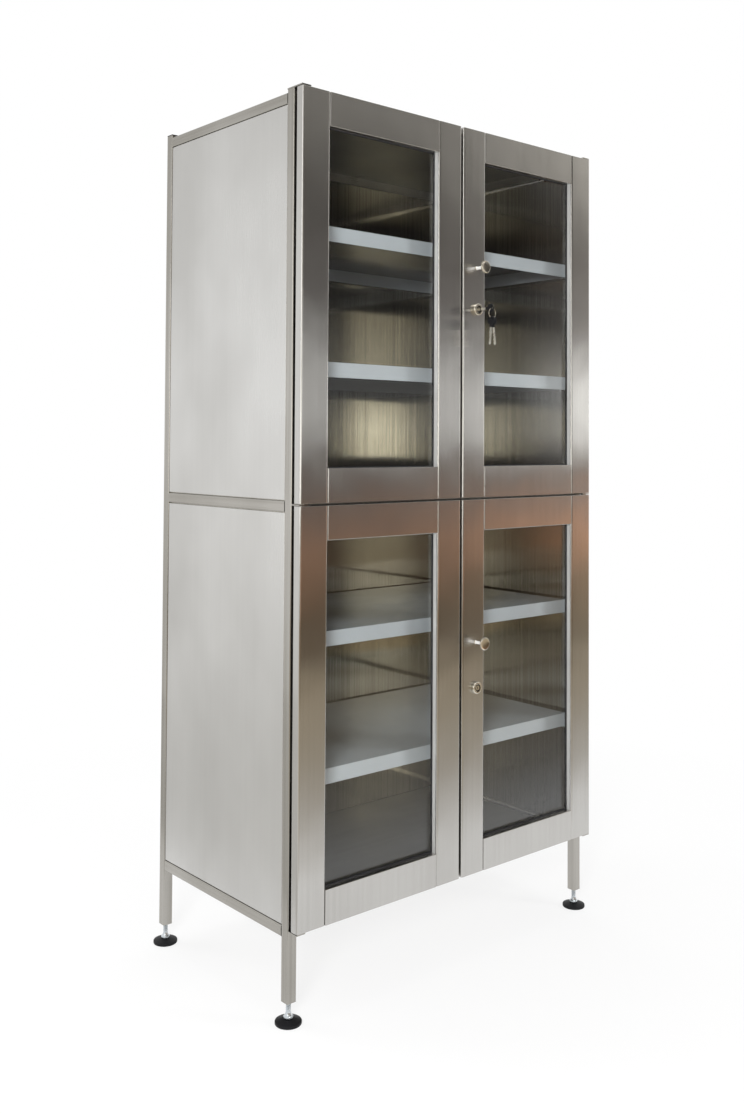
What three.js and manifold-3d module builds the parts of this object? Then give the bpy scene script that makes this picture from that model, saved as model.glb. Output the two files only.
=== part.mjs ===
// Stainless steel medical cabinet: a square-tube frame on levelling feet, two compartments
// with two tray shelves each, and four glazed doors hung on pivot plates.
// Millimetres. +Z is up, the doors face -Y and +X is to the right seen from the front.
import * as THREE from 'three';
import { mergeVertices } from 'three/addons/utils/BufferGeometryUtils.js';
import Module from 'manifold-3d';

const wasm = await Module();
wasm.setup();

// Overall sizes. Depths are measured back from the front of the doors, heights up from the floor.
const width = 1000;
const doorThickness = 25;
const doorToPost = 8;
const bodyDepth = 550;
const bodyFront = doorThickness + doorToPost;
const bodyBack = bodyFront + bodyDepth;
const legBottom = 48;
const postTop = 2064;
const air = 0.3;

// Tubes and sheets
const tube = 25;
const tubeWall = 1.5;
const tubeCorner = 2.5;
const sheet = 1;
const panelRecess = 1.5;
const inside = width / 2 - tube;
const railBottoms = { bottom: 187, middle: 1118, top: 2033 };
const floorDeckFlange = 14;
const backPanelRecess = 2;
const deckToBackPanel = 2;

// Shelves
const shelfTops = { upper_top: 1774, upper_low: 1459, lower_top: 841, lower_low: 528 };
const shelfLip = 35;
const shelfFront = 65;
const shelfBack = 570;
const shelfEndGap = 2.5;

// Doors
const doorBottom = { lower: 208, upper: 1138 };
const doorHeight = 925;
const doorSplit = 5;
const meetingGap = 7;
const doorSkin = 1;
const stile = 78;
const glassThickness = 4;
const glassFront = 17.5;
const glassHeld = 7;
const sealSide = 1.5;
const sealBack = 2;
const sealLip = 2;

// Pivot hinges
const pivotInset = 13;
const pivotPlate = 3;
const pivotPlateFront = 3;
const pinRadius = 4;
const pinReach = 12;
const washerRadius = 7;
const pivotY = doorThickness / 2;

// Knobs and cam locks, on the meeting stile of the right-hand doors
const lockX = 50;
const lockHeight = { lower: 458, upper: 471 };
const knobHeight = { lower: 570, upper: 575 };
const knobReach = 34;
const knobRadius = 16;
const knobFoot = 2.6;
const bezelRadius = 15;
const bezelReach = 9;
const lockBodyRadius = 9;
const lockBodyBack = 26.5;
const plugRadius = 6;
const plugFace = 8;
const plugTail = 33;
const tailRadius = 4;
const camFront = 27.5;
const camThickness = 2;
const camReach = 72;
const camWidth = 16;
const keywayDepth = 22;

// Keys
const keyBow = 11;
const keyBowThickness = 3.2;
const keyEye = 2.6;
const keyEyeOffset = 6;
const keyShank = 50;
const keyInsert = 20;
const keyBlade = 2;
const keyBladeHeight = 6.4;
const keyNeck = 5;
const keyNeckLength = 18;
const keyRing = 12;
const keyRingWire = 0.9;
const hangingKeyX = { outer: 2.4, inner: -2.4 };
const keyFan = THREE.MathUtils.degToRad(6);

// Levelling feet
const studRadius = 6;
const studTop = 78;
const padRadius = 30;
const padRim = 7;
const padHeight = 12;
const legPlug = 6;
const socketRadius = 7;
const ballHeight = 9;

// Facets round a full turn
const turnedSegments = 20;
const padSegments = 24;
const pinSegments = 16;
const ringSegments = 28;
const wireSides = 6;

// Finishes
const finishes = {
  tubeSteel: { color: 0x9c9c99, roughness: 0.38, metalness: 1 },
  panelSteel: { color: 0xc3c2be, roughness: 0.45, metalness: 1 },
  doorSteel: { color: 0xa19b92, roughness: 0.3, metalness: 1 },
  shelfSteel: { color: 0xb4bcc2, roughness: 0.5, metalness: 0.4 },
  glass: { color: 0xdde8e4, roughness: 0.03, metalness: 0, transparent: true, opacity: 0.3 },
  seal: { color: 0x17181a, roughness: 0.8, metalness: 0 },
  nickel: { color: 0xc9c6be, roughness: 0.2, metalness: 1 },
  zinc: { color: 0xb9c3c8, roughness: 0.3, metalness: 1 },
  blackPlastic: { color: 0x161618, roughness: 0.55, metalness: 0 },
};

const cabinet = new THREE.Group();

function piece(name, geometry, finish, group = cabinet) {
  const mesh = new THREE.Mesh(geometry, new THREE.MeshStandardMaterial(finishes[finish]));
  mesh.name = name;
  group.add(mesh);
  return mesh;
}

// A closed geometry as a solid for cutting and joining, with doubled corners merged.
function toSolid(geometry) {
  const bare = geometry.clone();
  bare.deleteAttribute('normal');
  bare.deleteAttribute('uv');
  const merged = mergeVertices(bare, 1e-3);
  const index = merged.index.array;
  const corners = [];
  for (let i = 0; i < index.length; i += 3) {
    const [a, b, c] = index.slice(i, i + 3);
    const flat = a === b || b === c || c === a;
    if (!flat) corners.push(a, b, c);
  }
  const vertProperties = new Float32Array(merged.attributes.position.array);
  const triVerts = new Uint32Array(corners);
  return new wasm.Manifold(new wasm.Mesh({ numProp: 3, vertProperties, triVerts }));
}

function toGeometry(solid) {
  const { vertProperties, triVerts } = solid.getMesh();
  const geometry = new THREE.BufferGeometry();
  geometry.setAttribute('position', new THREE.BufferAttribute(vertProperties, 3));
  geometry.setIndex(new THREE.BufferAttribute(triVerts, 1));
  geometry.computeVertexNormals();
  return geometry;
}

function cut(base, ...tools) {
  let solid = toSolid(base);
  for (const tool of tools) solid = solid.subtract(toSolid(tool));
  return toGeometry(solid);
}

function join(base, ...others) {
  let solid = toSolid(base);
  for (const other of others) solid = solid.add(toSolid(other));
  return toGeometry(solid);
}

// A box between two x, two y and two z values, given in either order.
function box([xa, xb], [ya, yb], [za, zb]) {
  const geometry = new THREE.BoxGeometry(Math.abs(xb - xa), Math.abs(yb - ya), Math.abs(zb - za));
  return geometry.translate((xa + xb) / 2, (ya + yb) / 2, (za + zb) / 2);
}

// The same box made smaller by a margin in x and z, for openings in doors.
function inset([xa, xb], y, [za, zb], margin) {
  return box([xa + margin, xb - margin], y, [za + margin, zb - margin]);
}

function cylinderZ(radius, [za, zb], x, y) {
  const geometry = new THREE.CylinderGeometry(radius, radius, zb - za, pinSegments);
  return geometry.rotateX(Math.PI / 2).translate(x, y, (za + zb) / 2);
}

function cylinderY(radius, [ya, yb], x, z) {
  const geometry = new THREE.CylinderGeometry(radius, radius, yb - ya, turnedSegments);
  return geometry.translate(x, (ya + yb) / 2, z);
}

// A turned piece from [radius, height] points that run up its outside.
function turned(points, segments = turnedSegments) {
  const outline = points.map(([radius, height]) => new THREE.Vector2(radius, height));
  return new THREE.LatheGeometry(outline, segments);
}

function roundedSquare(size, corner, Outline) {
  const half = size / 2;
  const outline = new Outline();
  outline.moveTo(half, half - corner);
  outline.absarc(half - corner, half - corner, corner, 0, Math.PI / 2);
  outline.absarc(corner - half, half - corner, corner, Math.PI / 2, Math.PI);
  outline.absarc(corner - half, corner - half, corner, Math.PI, 1.5 * Math.PI);
  outline.absarc(half - corner, corner - half, corner, 1.5 * Math.PI, 2 * Math.PI);
  return outline;
}

// A length of square tube, open at both ends, standing on z = 0.
function squareTube(length) {
  const section = roundedSquare(tube, tubeCorner, THREE.Shape);
  section.holes.push(roundedSquare(tube - 2 * tubeWall, tubeCorner - tubeWall, THREE.Path));
  return new THREE.ExtrudeGeometry(section, { depth: length, bevelEnabled: false, curveSegments: 2 });
}

// A sheet folded down on all four sides, open underneath.
function tray([xa, xb], [ya, yb], [za, zb]) {
  const hollowX = [xa + sheet, xb - sheet];
  const hollowY = [ya + sheet, yb - sheet];
  return cut(box([xa, xb], [ya, yb], [za, zb]), box(hollowX, hollowY, [za - 1, zb - sheet]));
}

const sides = { left: -1, right: 1 };
const ends = { front: bodyFront + tube / 2, back: bodyBack - tube / 2 };
const postX = width / 2 - tube / 2;

// Posts run from the top of the cabinet down to the feet, plugged at the bottom for the stud.
function post() {
  const plugHalf = tube / 2 - tubeWall;
  const plugBox = box([-plugHalf, plugHalf], [-plugHalf, plugHalf], [0, legPlug]);
  const plugged = join(squareTube(postTop - legBottom), plugBox);
  return cut(plugged, cylinderZ(studRadius + air, [-1, legPlug + 1], 0, 0));
}

// Stud of a foot: ball end, flange, flared collar and threaded rod.
function footStud() {
  const outline = [
    [0, ballHeight - 6],
    [3.5, ballHeight - 4.9],
    [5.6, ballHeight - 2.2],
    [6, ballHeight],
    [5, ballHeight + 3.3],
    [5, padHeight + 2],
    [11, padHeight + 2],
    [11, padHeight + 5],
    [7.2, padHeight + 9],
    [studRadius, padHeight + 14],
    [studRadius, studTop - 1],
    [studRadius - 1, studTop],
    [0, studTop],
  ];
  return turned(outline).rotateX(Math.PI / 2);
}

// Pad of a foot: a low cone with a socket for the stud's ball.
function footPad() {
  const outline = [
    [0, 0],
    [padRadius - 2, 0],
    [padRadius, 1.5],
    [padRadius, padRim],
    [13, padHeight],
    [socketRadius, padHeight],
    [socketRadius, ballHeight - 6 - air],
    [0, ballHeight - 6 - air],
  ];
  return turned(outline, padSegments).rotateX(Math.PI / 2);
}

for (const [side, sign] of Object.entries(sides)) {
  for (const [end, y] of Object.entries(ends)) {
    const corner = new THREE.Group();
    corner.position.set(sign * postX, y, 0);
    cabinet.add(corner);
    piece(`post_${end}_${side}`, post(), 'tubeSteel', corner).position.z = legBottom;
    piece(`foot_stud_${end}_${side}`, footStud(), 'zinc', corner);
    piece(`foot_pad_${end}_${side}`, footPad(), 'blackPlastic', corner);
  }
}

// Side rails between the posts, and the sheets let in between the rails.
const railLength = bodyDepth - 2 * tube - 2 * air;
const railFront = bodyFront + tube + air;
const railBack = railFront + railLength;
const panelHeights = {
  lower: [railBottoms.bottom + tube + air, railBottoms.middle - air],
  upper: [railBottoms.middle + tube + air, railBottoms.top - air],
};

for (const [side, sign] of Object.entries(sides)) {
  for (const [level, bottom] of Object.entries(railBottoms)) {
    const rail = piece(`side_rail_${level}_${side}`, squareTube(railLength), 'tubeSteel');
    rail.position.set(sign * postX, railBack, bottom + tube / 2);
    rail.rotation.x = Math.PI / 2;
  }
  for (const [level, heights] of Object.entries(panelHeights)) {
    const outer = sign * (width / 2 - panelRecess);
    const panel = box([outer, outer - sign * sheet], [railFront, railBack], heights);
    piece(`side_panel_${level}_${side}`, panel, 'panelSteel');
  }
}

// Top, middle deck and floor: folded trays between the posts, with one sheet behind them.
const deckX = [-inside + air, inside - air];
const backPanelY = [bodyBack - backPanelRecess - sheet, bodyBack - backPanelRecess];
const deckY = [bodyFront, backPanelY[0] - deckToBackPanel];
const railTops = {
  bottom: railBottoms.bottom + tube,
  middle: railBottoms.middle + tube,
  top: railBottoms.top + tube,
};
piece('top_panel', tray(deckX, deckY, [railBottoms.top, railTops.top]), 'panelSteel');
piece('middle_deck', tray(deckX, deckY, [railBottoms.middle, railTops.middle]), 'panelSteel');
piece('floor_deck', tray(deckX, deckY, [railTops.bottom - floorDeckFlange, railTops.bottom]), 'panelSteel');
piece('back_panel', box(deckX, backPanelY, [railBottoms.bottom, railTops.top]), 'panelSteel');

const shelfX = [-inside + shelfEndGap, inside - shelfEndGap];
for (const [place, top] of Object.entries(shelfTops)) {
  piece(`shelf_${place}`, tray(shelfX, [shelfFront, shelfBack], [top - shelfLip, top]), 'shelfSteel');
}

// Knob: threaded foot inside the door, small base, slender neck and a round flat head.
function knob() {
  const outline = [
    [0, -14],
    [knobFoot, -14],
    [knobFoot, air],
    [7, air],
    [7, 2],
    [4.6, 4.5],
    [3.8, 13],
    [4.2, 21],
    [6.8, 26.5],
    [knobRadius, knobReach - 4.8],
    [knobRadius, knobReach - 2],
    [knobRadius - 1.6, knobReach - 0.4],
    [0, knobReach],
  ];
  return turned(outline).rotateX(Math.PI);
}

// Lock housing: a bezel on the door's face and a barrel through the door.
function lockHousing() {
  const bore = plugRadius + air;
  const outline = [
    [bore, -lockBodyBack],
    [lockBodyRadius, -lockBodyBack],
    [lockBodyRadius, air],
    [bezelRadius, air],
    [bezelRadius, 4],
    [bezelRadius - 1.2, 7],
    [bezelRadius - 3.4, bezelReach],
    [bore, bezelReach],
    [bore, -lockBodyBack],
  ];
  return turned(outline).rotateX(Math.PI);
}

// Lock plug: turns in the housing, with a keyway in front and a tail for the cam behind.
function lockPlug() {
  const outline = [
    [0, -plugTail],
    [tailRadius, -plugTail],
    [tailRadius, -camFront + air],
    [plugRadius, -camFront + air],
    [plugRadius, plugFace],
    [0, plugFace],
  ];
  const keywayX = keyBlade / 2 + air;
  const keywayZ = keyBladeHeight / 2 + air;
  const keywayY = [-plugFace - 1, keywayDepth - plugFace];
  const keyway = box([-keywayX, keywayX], keywayY, [-keywayZ, keywayZ]);
  return cut(turned(outline).rotateX(Math.PI), keyway);
}

// Cam: a flat bar on the plug's tail, hanging down while unlocked.
function lockCam() {
  const half = camWidth / 2;
  const bar = new THREE.Shape();
  bar.moveTo(half, 0);
  bar.absarc(0, 0, half, 0, Math.PI);
  bar.lineTo(-half, half - camReach);
  bar.absarc(0, half - camReach, half, Math.PI, 2 * Math.PI);
  const eye = new THREE.Path();
  eye.absarc(0, 0, tailRadius + air, 0, 2 * Math.PI);
  bar.holes.push(eye);
  const settings = { depth: camThickness, bevelEnabled: false, curveSegments: pinSegments / 2 };
  const geometry = new THREE.ExtrudeGeometry(bar, settings);
  return geometry.rotateX(Math.PI / 2).translate(0, camFront + camThickness, 0);
}

// Key hanging from its eye: round bow, narrow neck and a flat blade with a pointed tip.
function key() {
  const bowCentre = -keyEyeOffset;
  const neckTop = bowCentre - keyBow + 1;
  const bladeTop = neckTop - keyNeckLength;
  const tip = neckTop - keyShank;
  const bow = new THREE.CylinderGeometry(keyBow, keyBow, keyBowThickness, turnedSegments);
  bow.rotateZ(Math.PI / 2).translate(0, 0, bowCentre);
  const neck = box([-keyBlade / 2, keyBlade / 2], [-keyNeck / 2, keyNeck / 2], [neckTop + 3, bladeTop - 1]);
  const half = keyBladeHeight / 2;
  const outline = new THREE.Shape();
  outline.moveTo(-half, bladeTop);
  outline.lineTo(-half, tip + half);
  outline.lineTo(0, tip);
  outline.lineTo(half, tip + half);
  outline.lineTo(half, bladeTop);
  const blade = new THREE.ExtrudeGeometry(outline, { depth: keyBlade, bevelEnabled: false });
  blade.translate(0, 0, -keyBlade / 2).rotateX(Math.PI / 2).rotateZ(Math.PI / 2);
  const eye = new THREE.CylinderGeometry(keyEye, keyEye, 2 * keyBowThickness, pinSegments);
  return cut(join(bow, neck, blade), eye.rotateZ(Math.PI / 2));
}

// Door frame: a hollow folded frame round the window, slotted inside for the glass seal.
const sealY = [glassFront - sealSide, glassFront + glassThickness + sealSide];

function doorFrame(x, window, sign, locked, level) {
  const z = [0, doorHeight];
  const through = [-1, doorThickness + 1];
  const hollowY = [doorSkin, doorThickness - doorSkin];
  const hollow = cut(inset(x, hollowY, z, doorSkin), inset(window.x, through, window.z, -doorSkin));
  const slotY = [sealY[0] - air, sealY[1] + air];
  const slot = inset(window.x, slotY, window.z, -doorSkin - 1);
  const pivotX = sign * (width / 2 - pivotInset);
  const pivotBore = cylinderZ(pinRadius + air, [-1, doorHeight + 1], pivotX, pivotY);
  const tools = [inset(window.x, through, window.z, 0), hollow, slot, pivotBore];
  if (locked) {
    tools.push(cylinderY(lockBodyRadius + air, through, lockX, lockHeight[level]));
    tools.push(cylinderY(knobFoot + air, [-1, doorThickness / 2], lockX, knobHeight[level]));
  }
  return cut(inset(x, [0, doorThickness], z, 0), ...tools);
}

function doorSeal(window) {
  const grooveY = [glassFront - air, glassFront + glassThickness + air];
  const outside = inset(window.x, sealY, window.z, -glassHeld - sealBack);
  const opening = inset(window.x, [-1, doorThickness + 1], window.z, sealLip);
  return cut(outside, opening, inset(window.x, grooveY, window.z, -glassHeld - air));
}

function doorGlass(window) {
  return inset(window.x, [glassFront, glassFront + glassThickness], window.z, -glassHeld);
}

for (const [level, bottom] of Object.entries(doorBottom)) {
  for (const [side, sign] of Object.entries(sides)) {
    const door = new THREE.Group();
    door.position.z = bottom;
    cabinet.add(door);
    const edges = [sign * width / 2, sign * meetingGap / 2];
    const x = [Math.min(...edges), Math.max(...edges)];
    const window = { x: [x[0] + stile, x[1] - stile], z: [stile, doorHeight - stile] };
    const locked = side === 'right';
    const place = `${level}_${side}`;
    piece(`door_frame_${place}`, doorFrame(x, window, sign, locked, level), 'doorSteel', door);
    piece(`door_seal_${place}`, doorSeal(window), 'seal', door);
    piece(`door_glass_${place}`, doorGlass(window), 'glass', door);
    if (locked) {
      piece(`knob_${level}`, knob(), 'nickel', door).position.set(lockX, 0, knobHeight[level]);
      piece(`lock_housing_${level}`, lockHousing(), 'nickel', door).position.set(lockX, 0, lockHeight[level]);
      piece(`lock_plug_${level}`, lockPlug(), 'nickel', door).position.set(lockX, 0, lockHeight[level]);
      piece(`lock_cam_${level}`, lockCam(), 'zinc', door).position.set(lockX, 0, lockHeight[level]);
    }
  }
}

// Pivot plates: flat bars fixed to the front posts, with a pin and washer into each door.
function pivot(plateZ, plateBack, sign, pins) {
  const x = sign * (width / 2 - pivotInset);
  const plate = box([sign * inside, sign * width / 2], [pivotPlateFront, plateBack], plateZ);
  const parts = [];
  for (const { from, doorFace, up } of pins) {
    const tip = doorFace + up * pinReach;
    const shoulder = doorFace - up * air;
    parts.push(cylinderZ(pinRadius, [Math.min(from, tip), Math.max(from, tip)], x, pivotY));
    parts.push(cylinderZ(washerRadius, [Math.min(from, shoulder), Math.max(from, shoulder)], x, pivotY));
  }
  return join(plate, ...parts);
}

const weldLine = bodyFront - air;
const splitMiddle = doorBottom.upper - doorSplit / 2;
const lowerDoorTop = doorBottom.lower + doorHeight;
const upperDoorTop = doorBottom.upper + doorHeight;
const pivotHeights = {
  bottom: doorBottom.lower - 1 - pivotPlate,
  middle: splitMiddle - pivotPlate / 2,
  top: postTop + air,
};

for (const [side, sign] of Object.entries(sides)) {
  for (const [level, z] of Object.entries(pivotHeights)) {
    const plateZ = [z, z + pivotPlate];
    const middleOfPlate = z + pivotPlate / 2;
    const pins = {
      bottom: [{ from: middleOfPlate, doorFace: doorBottom.lower, up: 1 }],
      middle: [
        { from: middleOfPlate, doorFace: lowerDoorTop, up: -1 },
        { from: middleOfPlate, doorFace: doorBottom.upper, up: 1 },
      ],
      top: [{ from: middleOfPlate, doorFace: upperDoorTop, up: -1 }],
    };
    const plateBack = level === 'top' ? bodyFront + tube : weldLine;
    piece(`pivot_plate_${level}_${side}`, pivot(plateZ, plateBack, sign, pins[level]), 'tubeSteel');
  }
}

// One key stands in the upper lock, with the ring and two more keys hanging from its bow.
const upperLockZ = doorBottom.upper + lockHeight.upper;
const bowReach = plugFace + keyShank - keyInsert + keyBow - 1;
const eyeReach = bowReach + keyEyeOffset;
const slack = keyEye - keyRingWire - air;
const ringCentreZ = upperLockZ - slack - keyRing;

const insertedKey = piece('key_in_lock', key(), 'blackPlastic');
insertedKey.position.set(lockX, -eyeReach, upperLockZ);
insertedKey.rotation.x = Math.PI / 2;

const ringWire = new THREE.TorusGeometry(keyRing, keyRingWire, wireSides, ringSegments);
const ring = piece('key_ring', ringWire, 'nickel');
ring.position.set(lockX, -eyeReach, ringCentreZ);
ring.rotation.x = Math.PI / 2;

for (const [place, offset] of Object.entries(hangingKeyX)) {
  const farFace = Math.abs(offset) + keyBowThickness / 2;
  const ringDrop = Math.sqrt(keyRing * keyRing - farFace * farFace);
  const hanging = piece(`key_hanging_${place}`, key(), 'blackPlastic');
  hanging.position.set(lockX + offset, -eyeReach, ringCentreZ - ringDrop - slack);
  hanging.rotation.y = -Math.sign(offset) * keyFan;
}

// The origin is on the floor, midway between the hanging keys in front and the pads behind.
const frontReach = eyeReach + keyBow;
const backReach = ends.back + padRadius;
cabinet.position.y = (frontReach - backReach) / 2;

export default cabinet;
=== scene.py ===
import math
import bpy
import bmesh
from mathutils import Matrix, Vector


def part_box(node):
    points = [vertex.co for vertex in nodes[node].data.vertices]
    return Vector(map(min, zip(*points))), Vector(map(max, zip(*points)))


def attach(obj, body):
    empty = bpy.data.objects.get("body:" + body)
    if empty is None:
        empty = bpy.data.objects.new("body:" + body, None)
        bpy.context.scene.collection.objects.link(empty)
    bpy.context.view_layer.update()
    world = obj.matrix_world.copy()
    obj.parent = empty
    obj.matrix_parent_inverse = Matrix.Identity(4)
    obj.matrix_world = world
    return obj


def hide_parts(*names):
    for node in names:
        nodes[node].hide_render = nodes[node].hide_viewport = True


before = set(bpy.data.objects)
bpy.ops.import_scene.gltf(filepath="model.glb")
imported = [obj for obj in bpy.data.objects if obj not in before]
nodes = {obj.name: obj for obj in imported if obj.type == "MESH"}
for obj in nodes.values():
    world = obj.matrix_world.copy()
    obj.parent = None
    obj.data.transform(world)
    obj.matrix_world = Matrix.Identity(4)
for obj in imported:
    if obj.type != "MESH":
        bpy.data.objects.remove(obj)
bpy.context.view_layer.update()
scene = bpy.context.scene
scene.view_settings.view_transform = "Standard"
sides = {"left": -1, "right": 1}
depths = ("front", "back")
levels = ("lower", "upper")
print("frame loaded:", len(nodes), "nodes")


# camera of the photograph, image 744 x 1114
cameraLook = {
    "place": (-1.9868, -2.23555, 1.2737),
    "turn": 40.696,
    "tilt": 1.612,
    "roll": 0.3233,
    "lens": 36.376,
    "sensor": 36,
    "shiftY": -0.1312,
}


def makeCamera(look):
    turn, tilt, roll = (math.radians(look[k]) for k in ("turn", "tilt", "roll"))
    ahead = Vector((math.sin(turn) * math.cos(tilt), math.cos(turn) * math.cos(tilt), math.sin(tilt)))
    level = Vector((math.cos(turn), -math.sin(turn), 0))
    upright = level.cross(ahead)
    right = level * math.cos(roll) + upright * math.sin(roll)
    up = right.cross(ahead)
    data = bpy.data.cameras.new("photoCamera")
    data.lens = look["lens"]
    data.sensor_width = look["sensor"]
    data.shift_y = look["shiftY"]
    camera = bpy.data.objects.new("photoCamera", data)
    scene.collection.objects.link(camera)
    camera.matrix_world = Matrix((right, up, -ahead)).transposed().to_4x4()
    camera.location = look["place"]
    scene.camera = camera


makeCamera(cameraLook)
print("camera placed")


# tools for materials
def setSurface(tree, source):
    out = next(n for n in tree.nodes if n.type == "OUTPUT_MATERIAL")
    tree.links.new(source, out.inputs["Surface"])


def nodeMaterial(name):
    mat = bpy.data.materials.new(name)
    mat.use_nodes = True
    tree = mat.node_tree
    tree.nodes.clear()
    tree.nodes.new("ShaderNodeOutputMaterial")
    shader = tree.nodes.new("ShaderNodeBsdfPrincipled")
    setSurface(tree, shader.outputs["BSDF"])
    return mat, tree, shader


def mixSurface(tree, share, first, second):
    mix = tree.nodes.new("ShaderNodeMixShader")
    tree.links.new(share, mix.inputs["Fac"])
    tree.links.new(first, mix.inputs[1])
    tree.links.new(second, mix.inputs[2])
    setSurface(tree, mix.outputs["Shader"])


def combined(tree, operation, first, second):
    node = tree.nodes.new("ShaderNodeMath")
    node.operation = operation
    tree.links.new(first, node.inputs[0])
    tree.links.new(second, node.inputs[1])
    return node.outputs[0]


def noiseOn(tree, stretch, detail=3.0):
    coords = tree.nodes.new("ShaderNodeTexCoord")
    mapping = tree.nodes.new("ShaderNodeMapping")
    mapping.inputs["Scale"].default_value = stretch
    noise = tree.nodes.new("ShaderNodeTexNoise")
    noise.inputs["Scale"].default_value = 1.0
    noise.inputs["Detail"].default_value = detail
    tree.links.new(coords.outputs["Object"], mapping.inputs["Vector"])
    tree.links.new(mapping.outputs["Vector"], noise.inputs["Vector"])
    return noise.outputs["Fac"]


noiseSpan = (0.3, 0.7)  # most of a noise lies between these


def ranged(tree, source, low, high, start=noiseSpan[0], stop=noiseSpan[1]):
    span = tree.nodes.new("ShaderNodeMapRange")
    for key, value in (("From Min", start), ("From Max", stop), ("To Min", low), ("To Max", high)):
        span.inputs[key].default_value = value
    tree.links.new(source, span.inputs["Value"])
    return span.outputs["Result"]


def rampOf(tree, source, stops):
    ramp = tree.nodes.new("ShaderNodeValToRGB")
    elements = ramp.color_ramp.elements
    for number, (place, tone) in enumerate(stops):
        stop = elements[number] if number < 2 else elements.new(place)  # a new ramp has two stops
        stop.position = place
        stop.color = (*tone, 1)
    tree.links.new(source, ramp.inputs["Fac"])
    return ramp.outputs["Color"]


def bumped(tree, shader, layers):
    last = None
    for source, strength, depth in layers:
        bump = tree.nodes.new("ShaderNodeBump")
        bump.inputs["Strength"].default_value = strength
        bump.inputs["Distance"].default_value = depth
        tree.links.new(source, bump.inputs["Height"])
        if last:
            tree.links.new(last, bump.inputs["Normal"])
        last = bump.outputs["Normal"]
    tree.links.new(last, shader.inputs["Normal"])


underShadeMake = {"full": -0.9, "none": -0.5}  # z of the normal at full painted shade and at none


def paintedUnderShade(tree, source, tone, make):  # painted shade: another, darker tone on the faces that look down, where the light from above doesn't reach
    geometry = tree.nodes.new("ShaderNodeNewGeometry")
    split = tree.nodes.new("ShaderNodeSeparateXYZ")
    tree.links.new(geometry.outputs["Normal"], split.inputs[0])
    down = ranged(tree, split.outputs["Z"], 1, 0, make["full"], make["none"])
    mix = tree.nodes.new("ShaderNodeMixRGB")
    mix.inputs["Color2"].default_value = (*tone, 1)
    tree.links.new(down, mix.inputs["Fac"])
    tree.links.new(source, mix.inputs["Color1"])
    return mix.outputs["Color"]


def tinted(tree, shader, source, dark, pale, underShade=None):
    colour = rampOf(tree, source, tuple(zip(noiseSpan, (dark, pale))))
    # faces that look down get the painted shade tone
    if underShade:
        colour = paintedUnderShade(tree, colour, underShade, underShadeMake)
    tree.links.new(colour, shader.inputs["Base Color"])


def along(grain, across, length):
    return tuple(length if axis == grain else across for axis in "XYZ")


# steel brushed along one axis: fine lines, broader streaks and slow clouds in its polish
brushMake = {
    "lines": (2300, 16),  # per metre across the grain and along it
    "lineRough": 0.02,
    "lineBump": (0.05, 0.00005),
    "streakLength": 1.1,
    "clouds": (3.1, 3.1, 2.3),
    "waveDepth": 0.01,
}
steelLook = {
    "tube": {
        "pale": (0.44, 0.425, 0.395), "dark": (0.33, 0.315, 0.285), "rough": (0.14, 0.22), "streak": 0.16,
        "anisotropy": 0.6, "waves": (3, 0.08),
    },
    "panel": {
        "pale": (0.63, 0.625, 0.61), "dark": (0.53, 0.525, 0.51), "rough": (0.26, 0.42), "streak": 0.02,
        "anisotropy": 0.35, "waves": (2, 0.25),
    },
    "inner": {
        "pale": (0.66, 0.63, 0.56), "dark": (0.48, 0.455, 0.39), "rough": (0.09, 0.14), "streak": 0.3,
        "anisotropy": 0.85, "waves": (2.6, 0.36), "fine": 240,
    },
    # darker than the other sheets: painted shade for the floor of each compartment and the gaps behind the
    # doors
    "deck": {
        "pale": (0.37, 0.36, 0.34), "dark": (0.30, 0.29, 0.27), "rough": (0.36, 0.48), "streak": 0.1,
        "anisotropy": 0.3, "waves": (2, 0.1),
    },
    "door": {
        "pale": (0.56, 0.55, 0.53), "dark": (0.50, 0.49, 0.47), "rough": (0.18, 0.23), "streak": 0.08,
        "anisotropy": 0.95, "waves": (7, 0.14),
    },
    "reveal": {
        "pale": (0.60, 0.60, 0.59), "dark": (0.52, 0.52, 0.51), "rough": (0.34, 0.44), "streak": 0.1,
        "anisotropy": 0.4, "waves": (5, 0.1), "metal": 0.4,
    },
}


def brushedSteel(name, grain, pale, dark, rough, streak, anisotropy, waves, metal=1.0, fine=90, underShade=None):
    mat, tree, shader = nodeMaterial(name)
    lines = noiseOn(tree, along(grain, *brushMake["lines"]))
    streaks = noiseOn(tree, along(grain, fine, brushMake["streakLength"]), detail=2.0)
    clouds = noiseOn(tree, brushMake["clouds"])
    tone = combined(tree, "ADD", ranged(tree, streaks, -streak, streak), clouds)
    tinted(tree, shader, tone, dark, pale, underShade)
    scratched = ranged(tree, lines, -brushMake["lineRough"], brushMake["lineRough"])
    polish = combined(tree, "ADD", scratched, ranged(tree, clouds, rough[1], rough[0]))
    tree.links.new(polish, shader.inputs["Roughness"])
    shader.inputs["Metallic"].default_value = metal
    shader.inputs["Anisotropic"].default_value = anisotropy
    tangent = tree.nodes.new("ShaderNodeTangent")
    tangent.direction_type = "RADIAL"
    tangent.axis = grain
    tree.links.new(tangent.outputs["Tangent"], shader.inputs["Tangent"])
    size, strength = waves
    slow = noiseOn(tree, (size,) * 3, detail=1.0)
    bumped(tree, shader, [(lines, *brushMake["lineBump"]), (slow, strength, brushMake["waveDepth"])])
    return mat


tubeUpright = brushedSteel("tubeUpright", "Z", **steelLook["tube"])
tubeAlong = brushedSteel("tubeAlong", "Y", **steelLook["tube"])
panelUpright = brushedSteel("panelUpright", "Z", **steelLook["panel"])
innerUpright = brushedSteel("innerUpright", "Z", **steelLook["inner"])
# the decks get the darker steel, a painted shade
deckShadedAcross = brushedSteel("deckShadedAcross", "X", **steelLook["deck"])
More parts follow.
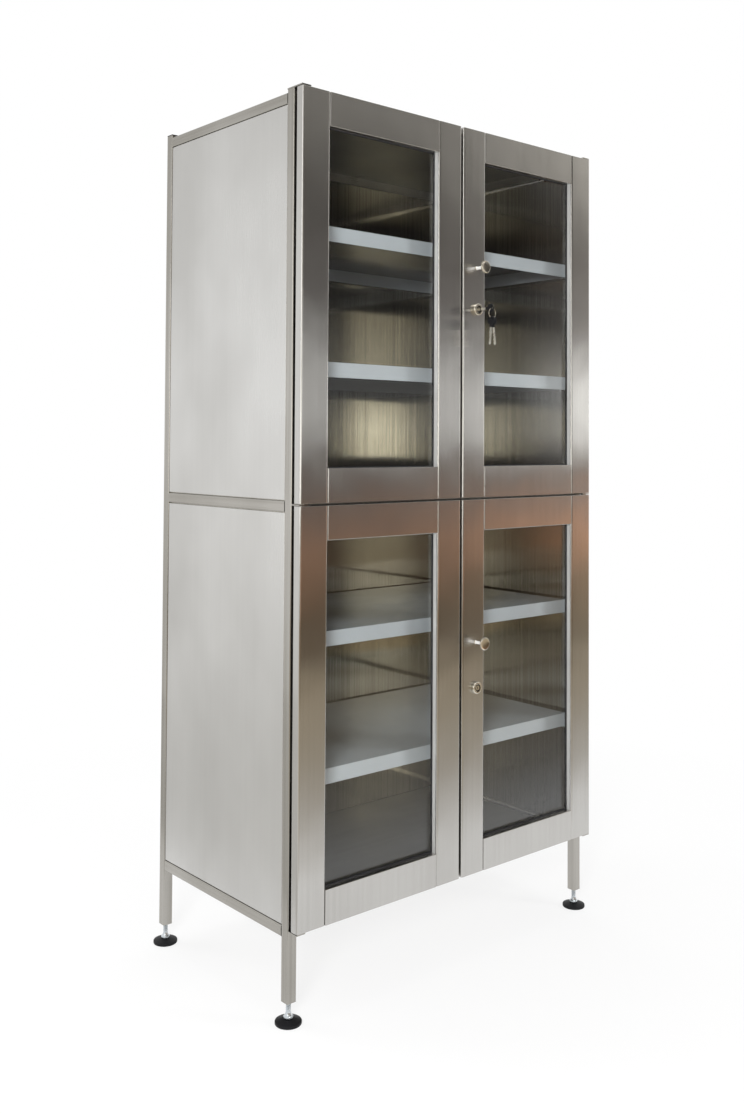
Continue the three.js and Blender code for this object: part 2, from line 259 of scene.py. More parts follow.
# the top sheet's faces that look down get a darker painted shade tone
topAcross = brushedSteel("topAcross", "X", **steelLook["panel"], underShade=(0.24, 0.23, 0.205))
doorUpright = brushedSteel("doorUpright", "Z", **steelLook["door"])
doorReveal = brushedSteel("doorReveal", "Z", **steelLook["reveal"])


# painted shelves, rubber and moulded pieces, with a fine speck
coatMake = {"clouds": 5, "speckBump": (0.08, 0.0003)}
coatLook = {
    "shelf": {
        "pale": (0.40, 0.425, 0.46), "dark": (0.36, 0.38, 0.41), "rough": (0.14, 0.22), "fine": 700,
        # the shelves' faces that look down get a darker painted shade tone
        "underShade": (0.11, 0.105, 0.095),
    },
    "seal": {
        "pale": (0.022, 0.023, 0.025), "dark": (0.012, 0.012, 0.014), "rough": (0.55, 0.75), "fine": 1500,
    },
    "moulding": {
        "pale": (0.013, 0.013, 0.014), "dark": (0.008, 0.008, 0.009), "rough": (0.34, 0.5), "fine": 1300,
        "shine": 0.12,
    },
}


def coatedSheet(name, pale, dark, rough, fine, shine=0.5, underShade=None):
    mat, tree, shader = nodeMaterial(name)
    shader.inputs["Specular IOR Level"].default_value = shine
    speck = noiseOn(tree, (fine,) * 3, detail=2.0)
    clouds = noiseOn(tree, (coatMake["clouds"],) * 3)
    tinted(tree, shader, clouds, dark, pale, underShade)
    tree.links.new(ranged(tree, clouds, *rough), shader.inputs["Roughness"])
    bumped(tree, shader, [(speck, *coatMake["speckBump"])])
    return mat


shelfCoat = coatedSheet("shelfCoat", **coatLook["shelf"])
sealRubber = coatedSheet("sealRubber", **coatLook["seal"])
blackMoulding = coatedSheet("blackMoulding", **coatLook["moulding"])


# plated small fittings, with faint pits
platedMake = {"clouds": 60, "pits": 900, "pitBump": (0.03, 0.0002)}


def plated(name, pale, dark, rough, metal=1.0):
    mat, tree, shader = nodeMaterial(name)
    clouds = noiseOn(tree, (platedMake["clouds"],) * 3, detail=4.0)
    pits = noiseOn(tree, (platedMake["pits"],) * 3, detail=2.0)
    tinted(tree, shader, clouds, dark, pale)
    tree.links.new(ranged(tree, clouds, *rough), shader.inputs["Roughness"])
    shader.inputs["Metallic"].default_value = metal
    bumped(tree, shader, [(pits, *platedMake["pitBump"])])
    return mat


nickelPlate = plated("nickelPlate", (0.74, 0.70, 0.61), (0.64, 0.60, 0.51), (0.10, 0.18))
# a near-white, half-metal finish that the lamps light up: a painted highlight on the knobs' necks
neckPaintedHighlight = plated("neckPaintedHighlight", (0.95, 0.94, 0.92), (0.89, 0.88, 0.86), (0.10, 0.18), metal=0.3)
bladeNickel = plated("bladeNickel", (0.82, 0.80, 0.75), (0.72, 0.70, 0.65), (0.24, 0.34))
recessDark = plated("recessDark", (0.060, 0.056, 0.050), (0.035, 0.033, 0.030), (0.35, 0.5))
zincPlate = plated("zincPlate", (0.66, 0.70, 0.73), (0.54, 0.58, 0.61), (0.20, 0.32))


# clear float glass that lets the lamps through
glassMake = {
    "tint": (0.965, 0.975, 0.968),
    "film": (4, 4, 2.5),
    "rough": (0.0, 0.03),
    "index": 1.5,
    "shadow": (0.9, 0.92, 0.91),
}


def floatGlass(name, make):
    mat, tree, shader = nodeMaterial(name)
    film = noiseOn(tree, make["film"], detail=4.0)
    tree.links.new(ranged(tree, film, *make["rough"]), shader.inputs["Roughness"])
    shader.inputs["Base Color"].default_value = (*make["tint"], 1)
    shader.inputs["Transmission Weight"].default_value = 1.0
    shader.inputs["IOR"].default_value = make["index"]
    path = tree.nodes.new("ShaderNodeLightPath")
    clear = tree.nodes.new("ShaderNodeBsdfTransparent")
    clear.inputs["Color"].default_value = (*make["shadow"], 1)
    mixSurface(tree, path.outputs["Is Shadow Ray"], shader.outputs["BSDF"], clear.outputs["BSDF"])
    return mat


clearGlass = floatGlass("clearGlass", glassMake)


# finishes of the CAD nodes by the start of their names, where the first match counts
finishes = (
    ("post_", tubeUpright), ("side_rail_", tubeAlong), ("pivot_plate_", tubeAlong),
    ("side_panel_", panelUpright), ("back_panel", innerUpright), ("top_panel", topAcross),
    ("middle_deck", deckShadedAcross), ("floor_deck", deckShadedAcross), ("shelf_", shelfCoat),
    ("door_frame_", doorUpright), ("door_glass_", clearGlass), ("door_seal_", sealRubber),
    ("lock_cam_", zincPlate), ("lock_", nickelPlate), ("knob_", nickelPlate),
    ("key_ring", nickelPlate), ("key_", blackMoulding),
    ("foot_stud_", zincPlate), ("foot_pad_", blackMoulding),
)
for name, node in nodes.items():
    finish = next(mat for start, mat in finishes if name.startswith(start))
    node.data.materials.clear()
    node.data.materials.append(finish)
print("CAD nodes dressed")


# tools for new pieces
axisX, axisY, axisZ = range(3)
near = 1e-5  # places closer than this are the same
facing = 0.99  # a face looks along an axis when its normal has this much of it
cleanMake = {"merge": 1e-6, "thin": 1e-7}


def block(bm, low, high):
    low, high = Vector(low), Vector(high)
    place = Matrix.Translation((low + high) / 2) @ Matrix.Diagonal((*(high - low), 1))
    return bmesh.ops.create_cube(bm, size=1, matrix=place)["verts"]


def edgesOf(verts):
    return list({e for v in verts for e in v.link_edges})


def edgesAlong(verts, axis):  # edges of a block that run along one axis
    return [e for e in edgesOf(verts) if abs(e.verts[0].co[axis] - e.verts[1].co[axis]) > near]


def rim(bm, axis, place):  # edges all round the face that lies at one place on an axis
    return [e for e in bm.edges if all(abs(v.co[axis] - place) < near for v in e.verts)]


def bevelled(bm, edges, width, segments):
    bmesh.ops.bevel(
        bm, geom=edges, offset=width, offset_type="OFFSET", segments=segments,
        profile=0.5, affect="EDGES", material=-1, clamp_overlap=True,
    )


def fullSpin(bm, geom, centre, axis, steps):
    bmesh.ops.spin(
        bm, geom=geom, cent=centre, axis=axis, dvec=(0, 0, 0),
        angle=2 * math.pi, steps=steps, use_merge=True, use_duplicate=False,
    )


def lathe(bm, outline, centre, axis, steps=48):
    centre, axis = Vector(centre), Vector(axis)
    across = axis.orthogonal().normalized()
    points = [bm.verts.new(centre + across * radius + axis * height) for radius, height in outline]
    line = [bm.edges.new(pair) for pair in zip(points, points[1:])]
    fullSpin(bm, points + line, centre, axis, steps)


def extruded(bm, faces, vec):
    grown = bmesh.ops.extrude_face_region(bm, geom=faces, use_keep_orig=True)["geom"]
    moved = [v for v in grown if isinstance(v, bmesh.types.BMVert)]
    bmesh.ops.translate(bm, verts=moved, vec=vec)
    return [f for f in grown if isinstance(f, bmesh.types.BMFace)]


def linked(bm, name):
    mesh = bpy.data.meshes.new(name)
    bm.to_mesh(mesh)
    bm.free()
    made = bpy.data.objects.new(name, mesh)
    scene.collection.objects.link(made)
    return made


def addPiece(bm, name, mats, body, stands=(), sharp=32):
    bmesh.ops.remove_doubles(bm, verts=bm.verts, dist=cleanMake["merge"])
    bmesh.ops.dissolve_degenerate(bm, edges=bm.edges, dist=cleanMake["thin"])
    bmesh.ops.recalc_face_normals(bm, faces=bm.faces)
    for face in bm.faces:
        face.smooth = True
    for edge in bm.edges:
        edge.smooth = edge.calc_face_angle(0) < math.radians(sharp)
    piece = linked(bm, name)
    for mat in mats:
        piece.data.materials.append(mat)
    flatten = piece.modifiers.new("flatten", "WEIGHTED_NORMAL")  # flat faces stay flat beside rounded edges
    flatten.keep_sharp = True
    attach(piece, body)
    if stands:
        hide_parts(*stands)


# frame: square tubes with rounded corners, side sheets folded in at their edges, and a flat back sheet
tubeMake = {"corner": (0.003, 4), "plug": 0.0016, "plugDepth": -0.0008}  # corner: width and steps
sheetMake = {
    "gap": 0.0011, "fold": (0.0014, 3), "deep": 0.005, "lip": (0.00505, 0.006), "lipGap": 0.0001,
    "round": (0.0004, 2),
}


def makeTube(node, name, axis, mat, make):
    bm = bmesh.new()
    verts = block(bm, *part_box(node))
    bevelled(bm, edgesAlong(verts, axis), *make["corner"])
    ends = [f for f in bm.faces if abs(f.normal[axis]) > facing]
    bmesh.ops.inset_individual(bm, faces=ends, thickness=make["plug"], depth=make["plugDepth"])
    addPiece(bm, name, [mat], "cabinet", [node])


def makeSheet(node, name, sign, make):
    low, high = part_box(node)
    outer = low.x if sign < 0 else high.x

    def layer(bm, first, last, gap):
        xa, xb = sorted((outer - sign * first, outer - sign * last))
        return block(bm, (xa, low.y + gap, low.z + gap), (xb, high.y - gap, high.z - gap))

    bm = bmesh.new()
    layer(bm, 0, make["deep"], make["gap"])
    bevelled(bm, rim(bm, axisX, outer), *make["fold"])
    lip = layer(bm, *make["lip"], make["lipGap"])  # the inner skin, whose lip closes the seam
    for skin in {f for v in lip for f in v.link_faces}:
        skin.material_index = 1
    addPiece(bm, name, [panelUpright, innerUpright], "cabinet", [node])


def makeBackSheet(node, name, make):
    low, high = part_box(node)
    bm = bmesh.new()
    block(bm, low, high)
    bevelled(bm, rim(bm, axisY, high.y), *make["round"])
    for face in bm.faces:
        face.material_index = int(face.normal.y < -facing)  # the side that faces the shelves
    addPiece(bm, name, [panelUpright, innerUpright], "cabinet", [node])


makeBackSheet("back_panel", "rolled_back_sheet", sheetMake)
for side, sign in sides.items():
    for depth in depths:
        makeTube(f"post_{depth}_{side}", f"rounded_post_{depth}_{side}", axisZ, tubeUpright, tubeMake)
    for height in ("bottom", "middle", "top"):
        makeTube(f"side_rail_{height}_{side}", f"rounded_rail_{height}_{side}", axisY, tubeAlong, tubeMake)
    for level in levels:
        makeSheet(f"side_panel_{level}_{side}", f"folded_sheet_{level}_{side}", sign, sheetMake)
print("frame made")


# doors: two upright members, two cross members butted between them, rounded folds
doorMake = {
    "member": 0.078,
    "fold": (0.005, 5),  # each fold: width and steps
    "windowFold": (0.002, 4),
    "rimFold": (0.0018, 4),
    "endFold": (0.001, 2),
    "seam": 0.00035,
    "revealArea": 0.005,
}


def makeUpright(low, high, make):
    bm = bmesh.new()
    verts = block(bm, low, high)
    bevelled(bm, edgesAlong(verts, axisZ), *make["fold"])
    bevelled(bm, rim(bm, axisZ, low.z) + rim(bm, axisZ, high.z), *make["endFold"])
    return bm


def makeCross(low, high, windowZ, make):
    bm = bmesh.new()
    verts = block(bm, low, high)
    bevelled(bm, edgesAlong(verts, axisZ), *make["windowFold"])
    bevelled(bm, rim(bm, axisZ, high.z), *make["endFold"])
    bevelled(bm, rim(bm, axisZ, windowZ), *make["rimFold"])
    return bm


def joined(parts):
    whole = bmesh.new()
    for part in parts:
        mesh = bpy.data.meshes.new("member")
        part.to_mesh(mesh)
        part.free()
        whole.from_mesh(mesh)
        bpy.data.meshes.remove(mesh)
    return whole


def makeDoor(level, side, make):
    node = f"door_frame_{level}_{side}"
    low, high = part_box(node)
    member, seam = make["member"], make["seam"]
    left, right = low.x + member, high.x - member
    parts = [
        makeUpright(Vector((xa, low.y, low.z)), Vector((xb, high.y, high.z)), make)
        for xa, xb in ((low.x, left), (right, high.x))
    ]
    for za, zb, windowZ in (
        (low.z, low.z + member, low.z + member), (high.z - member, high.z, high.z - member),
    ):
        first, last = Vector((left + seam, low.y, za)), Vector((right - seam, high.y, zb))
        parts.append(makeCross(first, last, windowZ, make))
    bm = joined(parts)
    for face in bm.faces:
        beside = min(abs(face.calc_center_median().x - x) for x in (left, right)) < near
        face.material_index = int(beside and face.calc_area() > make["revealArea"])  # upright window faces
    name = f"door_members_{level}_{side}"
    addPiece(bm, name, [doorUpright, doorReveal], f"door_{level}_{side}", [node])


for level in levels:
    for side in sides:
        makeDoor(level, side, doorMake)
print("doors made")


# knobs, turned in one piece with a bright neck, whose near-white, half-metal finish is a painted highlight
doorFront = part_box("door_frame_upper_right")[0].y
lockX = 0.050  # the knobs and locks stand in one upright line
forward = (0, -1, 0)
knobMake = {
    "neck": (0.002, 0.0265),
    "outline": (
        (0, 0.0003), (0.0052, 0.0003), (0.0052, 0.0009), (0.0042, 0.0018), (0.0038, 0.0040),
        (0.0038, 0.0100), (0.0040, 0.0145), (0.0045, 0.0185), (0.0055, 0.0225), (0.0074, 0.0257),
        (0.0106, 0.0279), (0.0146, 0.0291), (0.016, 0.0300), (0.016, 0.0318), (0.0153, 0.0331),
        (0.0142, 0.0336), (0.0130, 0.0332), (0.0075, 0.0329), (0, 0.0328),
    ),
}


def makeKnob(level, make):
    node = f"knob_{level}"
    low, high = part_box(node)
    bm = bmesh.new()
    lathe(bm, make["outline"], (lockX, doorFront, (low.z + high.z) / 2), forward)
    start, stop = make["neck"]
    for face in bm.faces:
        reach = doorFront - face.calc_center_median().y
        # the neck faces take the painted highlight finish
        face.material_index = int(start < reach < stop)
    mats = [nickelPlate, neckPaintedHighlight]
    addPiece(bm, f"turned_{node}", mats, f"door_{level}_right", [node])


for level in levels:
    makeKnob(level, knobMake)
print("knobs made")


# lock housings with a stepped bezel, and the nuts that hold each lock and its cam inside the door
lockMake = {
    "recess": 0.0091,
    "heights": {"lower": 0.666, "upper": 1.609},
    "bezel": (
        (0.0063, -0.0265), (0.009, -0.0265), (0.009, 0.0003), (0.0146, 0.0003), (0.015, 0.0008),
        (0.015, 0.0062), (0.0147, 0.0074), (0.0141, 0.0083), (0.0132, 0.0089), (0.0124, 0.009),
        (0.0098, 0.009), (0.0092, 0.0087), (0.0084, 0.0070), (0.0072, 0.0050), (0.0063, 0.0046),
        (0.0063, -0.0265),
    ),
}
nutMake = {
    "flats": 6,
    "cuts": 3,
    "lock_nut": {"corner": 0.0128, "hole": 0.0092, "span": (0.0251, 0.0262)},
    "cam_nut": {"corner": 0.0068, "hole": 0.0041, "span": (0.0298, 0.0322)},
}


def lockCentre(level):
    return Vector((lockX, doorFront, lockMake["heights"][level]))


def makeBezel(level, make):
    centre = lockCentre(level)
    bm = bmesh.new()
    lathe(bm, make["bezel"], centre, forward)
    for face in bm.faces:
        away = face.calc_center_median() - centre
        inward = math.hypot(away.x, away.z) < make["recess"]
        face.material_index = int(inward and away.y < 0)  # dark ring round the plug
    mats, body = [nickelPlate, recessDark], f"door_{level}_right"
    addPiece(bm, f"lock_bezel_{level}", mats, body, [f"lock_housing_{level}"])


# flat nut lying across y, with a round hole
def makeNut(kind, level, body, make):
    flats, cuts = make["flats"], make["cuts"]
    front, back = make[kind]["span"]
    place = Matrix.Translation(lockCentre(level)) @ Matrix.Rotation(math.pi / 2, 4, "X")
    bm = bmesh.new()
    outer = bmesh.ops.create_circle(bm, segments=flats, radius=make[kind]["corner"], matrix=place)["verts"]
    bmesh.ops.subdivide_edges(bm, edges=edgesOf(outer), cuts=cuts)
    outline = list(bm.edges)
    points = flats * (cuts + 1)  # as many round the hole as on the outline
    inner = bmesh.ops.create_circle(bm, segments=points, radius=make[kind]["hole"], matrix=place)["verts"]
    bmesh.ops.bridge_loops(bm, edges=outline + edgesOf(inner))
    bmesh.ops.translate(bm, verts=bm.verts, vec=(0, front, 0))
    extruded(bm, list(bm.faces), (0, back - front, 0))
    addPiece(bm, f"{kind}_{level}", [zincPlate], body)


for level in levels:
    makeBezel(level, lockMake)
for level in levels:
    makeNut("lock_nut", level, f"door_{level}_right", nutMake)
    makeNut("cam_nut", level, f"lock_{level}", nutMake)
print("locks made")


# keys: a moulded bow with a dished grip, and a nickel blade with cuts along one edge
keyMake = {
    "bow": 0.011, "bowDrop": -0.006, "eye": 0.0026, "steps": 40, "thick": 0.0032, "round": (0.0009, 2),
    "rim": 0.0009, "dish": -0.0004,
    "sleeve": ((-0.0013, -0.0036, -0.0225), (0.0013, 0.0036, -0.014)), "sleeveRound": (0.0008, 2),
    "blade": 0.002,
    "bladeEdge": (  # in millimetres from the eye
        (-2.5, -15), (-2.5, -33), (-3.2, -34), (-3.2, -63), (0, -66), (2.8, -62.6), (2.8, -60),
        (1.3, -57.6), (1.3, -55.6), (2.3, -53.6), (2.3, -51.6), (0.9, -49), (0.9, -47), (2.5, -44.6),
        (2.5, -42.6), (1.5, -40.6), (1.5, -39), (3.2, -36.6), (3.2, -34), (2.5, -33), (2.5, -15),
    ),
    "eyeY": -0.32175,
    "hangAcross": 0.0024,
    "hangHeight": 1.582886,
    "fan": 6,
}


def makeBow(bm, make):
    turn = Matrix.Rotation(math.pi / 2, 4, "Y")
    half = make["thick"] / 2
    rings = []
    for radius, drop in ((make["bow"], make["bowDrop"]), (make["eye"], 0)):
        place = Matrix.Translation((-half, 0, drop)) @ turn
        verts = bmesh.ops.create_circle(bm, segments=make["steps"], radius=radius, matrix=place)["verts"]
        rings += edgesOf(verts)
    first = bmesh.ops.bridge_loops(bm, edges=rings)["faces"]
    second = extruded(bm, first, (make["thick"], 0, 0))
    bmesh.ops.recalc_face_normals(bm, faces=bm.faces)
    flat = set(first + second)
    rims = [e for e in bm.edges if len(set(e.link_faces) & flat) == 1]
    bevelled(bm, rims, *make["round"])
    grips = [f for f in bm.faces if abs(f.normal.x) > facing]
    bmesh.ops.inset_region(bm, faces=grips, thickness=make["rim"], depth=make["dish"], use_even_offset=True)
    sleeve = block(bm, *make["sleeve"])
    bevelled(bm, edgesOf(sleeve), *make["sleeveRound"])


def makeBlade(bm, make):
    half = make["blade"] / 2
    corners = [bm.verts.new((-half, y / 1000, z / 1000)) for y, z in make["bladeEdge"]]
    face = bm.faces.new(corners)
    extruded(bm, [face], (make["blade"], 0, 0))


def makeKey(node, body, across, height, turn, make):
    place = Matrix.Translation((lockX + across, make["eyeY"], height)) @ turn
    for part, maker, mat, slot, stands in (
        ("bow", makeBow, blackMoulding, "black_plastic", [node]),
        ("blade", makeBlade, bladeNickel, "nickel", ()),
    ):
        bm = bmesh.new()
        maker(bm, make)
        bmesh.ops.transform(bm, matrix=place, verts=bm.verts)
        addPiece(bm, f"{node}_{part}", [mat], body, stands)


levelKey = Matrix.Rotation(math.pi / 2, 4, "X")
makeKey("key_in_lock", "key", 0.0, lockMake["heights"]["upper"], levelKey, keyMake)
for where, sign in (("outer", 1), ("inner", -1)):
    across = sign * keyMake["hangAcross"]
    turn = Matrix.Rotation(-sign * math.radians(keyMake["fan"]), 4, "Y")
    makeKey(f"key_hanging_{where}", f"hanging_key_{where}", across, keyMake["hangHeight"], turn, keyMake)


# split ring: two turns of wire lying side by side
ringMake = {
    "radius": 0.012, "wire": 0.00046, "wireSteps": 10, "steps": 56, "apart": 0.00044, "height": 1.5956,
    "sharp": 60,
}


def makeRing(make):
    middle = Vector((lockX, keyMake["eyeY"], make["height"]))
    bm = bmesh.new()
    for sign in (-1, 1):
        place = Matrix.Translation(middle + Vector((make["radius"], sign * make["apart"], 0)))
        wire = bmesh.ops.create_circle(
            bm, segments=make["wireSteps"], radius=make["wire"], matrix=place,
        )["verts"]
        fullSpin(bm, wire + edgesOf(wire), middle, (0, 1, 0), make["steps"])
    addPiece(bm, "split_ring", [nickelPlate], "ring", ["key_ring"], make["sharp"])


makeRing(ringMake)
print("keys made")


# feet: a threaded stud with a flared collar, on a domed pad
upward = (0, 0, 1)
padMake = {
    "steps": 56,
    "outline": (
        (0, 0), (0.0276, 0), (0.0292, 0.0005), (0.03, 0.0018), (0.03, 0.0058), (0.0294, 0.0070),
        (0.0280, 0.0077), (0.0206, 0.0098), (0.0142, 0.0117), (0.0128, 0.012), (0.0076, 0.012),
        (0.007, 0.0114), (0.007, 0.0027), (0, 0.0027),
    ),
}
studMake = {
    "steps": 36,
    "outline": (
        (0, 0.003), (0.0035, 0.0041), (0.0056, 0.0068), (0.006, 0.009), (0.005, 0.0123),
        (0.005, 0.014), (0.0106, 0.014), (0.011, 0.0144), (0.011, 0.0166), (0.0106, 0.0172),
        (0.0088, 0.0186), (0.0074, 0.0206), (0.0064, 0.0236), (0.0059, 0.0262), (0.0053, 0.0268),
        (0.0053, 0.0772), (0.0046, 0.078), (0, 0.078),
    ),
    "pitch": 0.00175, "stepsPerTurn": 14, "threadSpan": (0.0275, 0.0625),
    "ridge": ((0.0051, 0), (0.0059, 0.0008), (0.0051, 0.0016)),
}


# one ridge wound round the stud
def thread(bm, make, centre):
    low, high = make["threadSpan"]
    ridge = [bm.verts.new(centre + Vector((x, 0, low + z))) for x, z in make["ridge"]]
    loop = [bm.edges.new(pair) for pair in zip(ridge, ridge[1:] + ridge[:1])]
    bm.faces.new(ridge)
    turns = round((high - low) / make["pitch"])
    rise = Vector((0, 0, make["pitch"] / make["stepsPerTurn"]))
    end = bmesh.ops.spin(
        bm, geom=ridge + loop, cent=centre, axis=upward, dvec=rise,
        angle=2 * math.pi * turns, steps=turns * make["stepsPerTurn"], use_merge=False,
    )["geom_last"]
    bm.faces.new([v for v in end if isinstance(v, bmesh.types.BMVert)])


def makeFoot(place):
    pad, stud = f"foot_pad_{place}", f"foot_stud_{place}"
    low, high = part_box(pad)
    centre = Vector(((low.x + high.x) / 2, (low.y + high.y) / 2, 0))
    bm = bmesh.new()
    lathe(bm, padMake["outline"], centre, upward, padMake["steps"])
    addPiece(bm, f"moulded_pad_{place}", [blackMoulding], f"pad_{place}", [pad])
    bm = bmesh.new()
    lathe(bm, studMake["outline"], centre, upward, studMake["steps"])
    thread(bm, studMake, centre)
    addPiece(bm, f"collared_stud_{place}", [zincPlate], f"foot_{place}", [stud])


for depth in depths:
    for side in sides:
        makeFoot(f"{depth}_{side}")
print("feet made")


# dark caps in the tops of the back posts
capMake = {"size": 0.0246, "top": 0.0024, "clear": 0.0002, "round": (0.0011, 3)}


def makeCap(side, make):
    low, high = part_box(f"post_back_{side}")
    middle = (low + high) / 2
    half = Vector((make["size"] / 2, make["size"] / 2, 0))
    base = Vector((middle.x, middle.y, high.z + make["clear"]))
    bm = bmesh.new()
    verts = block(bm, base - half, base + half + Vector((0, 0, make["top"])))
    bevelled(bm, edgesOf(verts), *make["round"])
    addPiece(bm, f"post_cap_back_{side}", [blackMoulding], "cabinet")


for side in sides:
    makeCap(side, capMake)


# small tabs on the posts that carry the shelves' corners
clipMake = {
    "reach": 0.0095, "thick": 0.0028, "clear": 0.0003, "round": (0.0006, 2),
    "front": (-0.0125, 0.015), "back": (-0.016, 0.004),
}


def makeClips(make):
    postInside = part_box("post_front_right")[0].x - make["clear"]
    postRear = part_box("post_front_left")[1].y
    bm = bmesh.new()
    for place in ("upper_top", "upper_low", "lower_top", "lower_low"):
        low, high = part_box(f"shelf_{place}")
        top = low.z - make["clear"]
        spans = (
            (postRear + make["front"][0], low.y + make["front"][1]),
            (high.y + make["back"][0], high.y + make["back"][1]),
        )
        for sign in sides.values():
            xa, xb = sorted((sign * postInside, sign * (postInside - make["reach"])))
            for ya, yb in spans:
                verts = block(bm, (xa, ya, top - make["thick"]), (xb, yb, top))
                bevelled(bm, edgesOf(verts), *make["round"])
    addPiece(bm, "shelf_clips", [zincPlate], "cabinet")


makeClips(clipMake)
print("caps and clips made")


# pale floor that keeps the shadow near the cabinet and fades to white further out
def whiteRays(tree):
    path = tree.nodes.new("ShaderNodeLightPath")
    seen = combined(tree, "MAXIMUM", path.outputs["Is Camera Ray"], path.outputs["Is Glossy Ray"])
    return combined(tree, "MAXIMUM", seen, path.outputs["Is Transmission Ray"])


floorMake = {
    "radius": 14, "steps": 96, "tone": (0.86, 0.86, 0.86), "rough": 0.9,
    "near": 0.8, "far": 2.2, "glow": 0.78,
}


def makeFloor(make):
    bm = bmesh.new()
    bmesh.ops.create_circle(bm, cap_ends=True, segments=make["steps"], radius=make["radius"])
    floor = linked(bm, "studioFloor")
    mat, tree, shader = nodeMaterial("studioFloor")
    shader.inputs["Base Color"].default_value = (*make["tone"], 1)
    shader.inputs["Roughness"].default_value = make["rough"]
    glow = tree.nodes.new("ShaderNodeEmission")
    coords = tree.nodes.new("ShaderNodeTexCoord")
    away = tree.nodes.new("ShaderNodeVectorMath")
    away.operation = "LENGTH"
    tree.links.new(coords.outputs["Object"], away.inputs[0])
    fade = ranged(tree, away.outputs["Value"], make["glow"], 1.0, make["near"], make["far"])
    share = combined(tree, "MULTIPLY", fade, whiteRays(tree))
    mixSurface(tree, share, shader.outputs["BSDF"], glow.outputs["Emission"])
    floor.data.materials.append(mat)


makeFloor(floorMake)


# studio cards, seen only in the steel and the glass: tones run up or back along the axis, gain along x
wallMake = {
    "middle": (3.5, -3.3, 2.6),
    "size": (22, 5.2),
    "turn": 0,
    "axis": "Z",
    "gain": ((-2.0, 1.2), (0.6, 1.3), (1.5, 0.5), (3.6, 0.5), (4.4, 3.0)),
    "tones": (
        (0.00, (0.20, 0.16, 0.11)), (0.07, (0.19, 0.13, 0.08)), (0.115, (0.52, 0.29, 0.18)),
        (0.165, (0.27, 0.19, 0.15)), (0.215, (0.205, 0.185, 0.17)), (0.26, (0.82, 0.815, 0.80)),
        (0.325, (0.82, 0.815, 0.80)), (0.40, (0.225, 0.21, 0.20)), (0.457, (0.18, 0.165, 0.155)),
        (0.51, (0.09, 0.08, 0.072)), (0.56, (0.19, 0.18, 0.165)), (0.61, (0.325, 0.31, 0.285)),
        (1.00, (0.50, 0.48, 0.45)),
    ),
}
clothMake = {
    "middle": (0, -2.1, 0.012),
    "size": (15, 2.4),
    "turn": 0,
    "axis": "Y",
    "gain": ((-2.0, 1.4), (0.4, 1.0), (1.9, 1.0), (4.4, 1.1)),
    "tones": (
        (0.00, (0.20, 0.16, 0.11)), (0.20, (0.48, 0.40, 0.29)), (0.60, (0.46, 0.40, 0.31)),
        (0.85, (0.62, 0.59, 0.54)), (1.00, (1.0, 1.0, 1.0)),
    ),
}
paneMake = {
    "middle": (-2.42, -2.42, 2.0),
    "size": (4.8, 3.2),
    "turn": -45,
    "axis": "Z",
    "gain": ((-4.1, 0.9), (-3.3, 2.7), (-1.5, 2.7), (-0.75, 0.8)),
    "tones": (
        (0.00, (0.20, 0.19, 0.17)), (0.18, (1.0, 0.985, 0.955)), (0.78, (1.0, 0.99, 0.97)),
        (1.00, (0.40, 0.39, 0.37)),
    ),
}
middleMake = {
    "middle": (-2.07, -2.67, 2.0),
    "size": (1.7, 3.2),
    "turn": -45,
    "axis": "Z",
    "gain": ((-2.67, 0.7), (-2.45, 0.7), (-2.25, 2.0), (-1.75, 2.0), (-1.47, 1.0)),
    "tones": (
        (0.00, (0.25, 0.24, 0.20)), (0.17, (0.35, 0.34, 0.29)), (0.205, (1.0, 0.98, 0.90)),
        (0.31, (1.0, 0.98, 0.90)), (0.375, (0.45, 0.435, 0.385)), (0.53, (0.30, 0.285, 0.245)),
        (0.69, (0.13, 0.12, 0.10)), (1.00, (0.14, 0.13, 0.11)),
    ),
}
glintMake = {
    "middle": (-0.2, -2.3, 3.9),
    "size": (1.6, 0.7),
    "turn": 0,
    "axis": "Y",
    "gain": ((-1.0, 4.0), (0.6, 4.0)),
    "tones": ((0.00, (1.0, 0.99, 0.97)), (1.00, (1.0, 0.99, 0.97))),
}
backMake = {
    "middle": (-2.3, 2.3, 2.0),
    "size": (5.6, 4.0),
    "turn": 45,
    "axis": "Z",
    "gain": ((-4.0, 1.0), (0, 1.0)),
    "tones": (
        (0.00, (0.92, 0.915, 0.90)), (0.22, (1.02, 1.015, 1.005)), (0.38, (1.1, 1.1, 1.1)),
        (0.55, (1.0, 1.0, 0.995)), (0.75, (0.88, 0.875, 0.865)), (1.00, (0.9, 0.9, 0.9)),
    ),
}
sideClothMake = {
    "middle": (-2.6, 1.3, 0.012),
    "size": (3.4, 4.6),
    "turn": 0,
    "axis": "Y",
    "gain": ((-4.3, 1.0), (-0.9, 0.85)),
    "tones": ((0.00, (0.86, 0.845, 0.81)), (1.00, (0.86, 0.855, 0.84))),
}
cardPeak = 4  # the strongest gain, because a ramp's own values end at 1


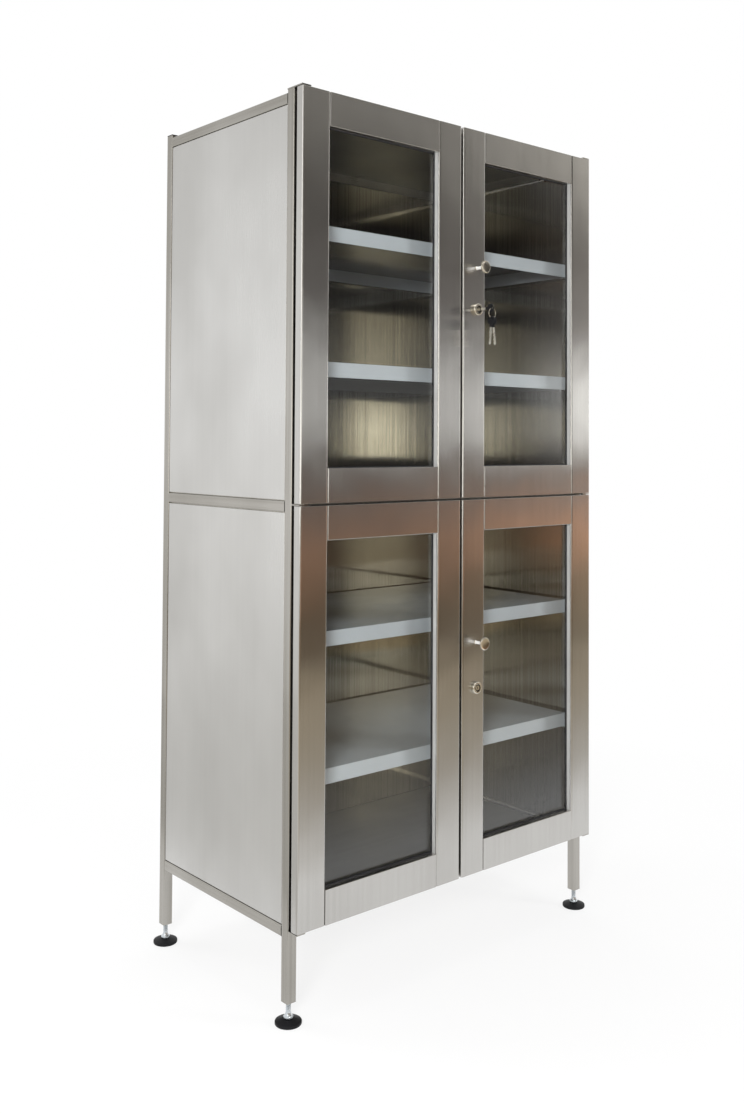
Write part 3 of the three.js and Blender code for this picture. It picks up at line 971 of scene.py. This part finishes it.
def makeCard(name, make):
    place = Matrix.Translation(make["middle"]) @ Matrix.Rotation(math.radians(make["turn"]), 4, "Z")
    if make["axis"] == "Z":  # a standing card
        place = place @ Matrix.Rotation(math.pi / 2, 4, "X")
    place = place @ Matrix.Diagonal((*make["size"], 1, 1))
    bm = bmesh.new()
    bmesh.ops.create_grid(bm, x_segments=1, y_segments=1, size=0.5, matrix=place)
    card = linked(bm, name)
    card.visible_camera = card.visible_diffuse = card.visible_shadow = False
    mat, tree, shader = nodeMaterial(name)
    tree.nodes.remove(shader)
    glow = tree.nodes.new("ShaderNodeEmission")
    setSurface(tree, glow.outputs["Emission"])
    coords = tree.nodes.new("ShaderNodeTexCoord")
    split = tree.nodes.new("ShaderNodeSeparateXYZ")
    tree.links.new(coords.outputs["Object"], split.inputs[0])
    centre, half = make["middle"]["XYZ".index(make["axis"])], make["size"][1] / 2
    share = ranged(tree, split.outputs[make["axis"]], 0, 1, centre - half, centre + half)
    tree.links.new(rampOf(tree, share, make["tones"]), glow.inputs["Color"])
    first, last = make["gain"][0][0], make["gain"][-1][0]
    across = ranged(tree, split.outputs["X"], 0, 1, first, last)
    stops = [((x - first) / (last - first), (gain / cardPeak,) * 3) for x, gain in make["gain"]]
    strength = ranged(tree, rampOf(tree, across, stops), 0, cardPeak, 0, 1)
    tree.links.new(strength, glow.inputs["Strength"])
    card.data.materials.append(mat)


makeCard("studioWall", wallMake)
makeCard("studioCloth", clothMake)
makeCard("studioPane", paneMake)
makeCard("studioMiddle", middleMake)
makeCard("studioGlint", glintMake)
makeCard("studioBack", backMake)
makeCard("studioSideCloth", sideClothMake)


# soft light
lightMake = {
    "world": 0.38,
    "lamps": (  # name, place, size and power
        ("keyLamp", (-3.4, -2.9, 1.95), 1.2, 210),
        ("fillLamp", (2.6, -3.8, 1.95), 1.4, 85),
        ("topLamp", (0.2, 0.4, 4.2), 2.6, 70),
        ("backLamp", (-2.6, 3.2, 2.6), 2.2, 60),
    ),
    "aim": (0, 0, 1.0),
}


def makeLight(make):
    world = bpy.data.worlds.new("studioWorld")
    world.use_nodes = True
    scene.world = world
    tree = world.node_tree
    back = next(n for n in tree.nodes if n.type == "BACKGROUND")
    back.inputs["Color"].default_value = (1, 1, 1, 1)
    strength = ranged(tree, whiteRays(tree), make["world"], 1.0, 0, 1)
    tree.links.new(strength, back.inputs["Strength"])
    for name, place, size, power in make["lamps"]:
        data = bpy.data.lights.new(name, "AREA")
        data.shape = "DISK"
        data.size = size
        data.energy = power
        lamp = bpy.data.objects.new(name, data)
        scene.collection.objects.link(lamp)
        lamp.location = place
        lamp.rotation_mode = "QUATERNION"
        lamp.rotation_quaternion = (Vector(make["aim"]) - lamp.location).to_track_quat("-Z", "Y")
        lamp.visible_camera = lamp.visible_glossy = lamp.visible_transmission = False


makeLight(lightMake)
print("floor, cards and light made")
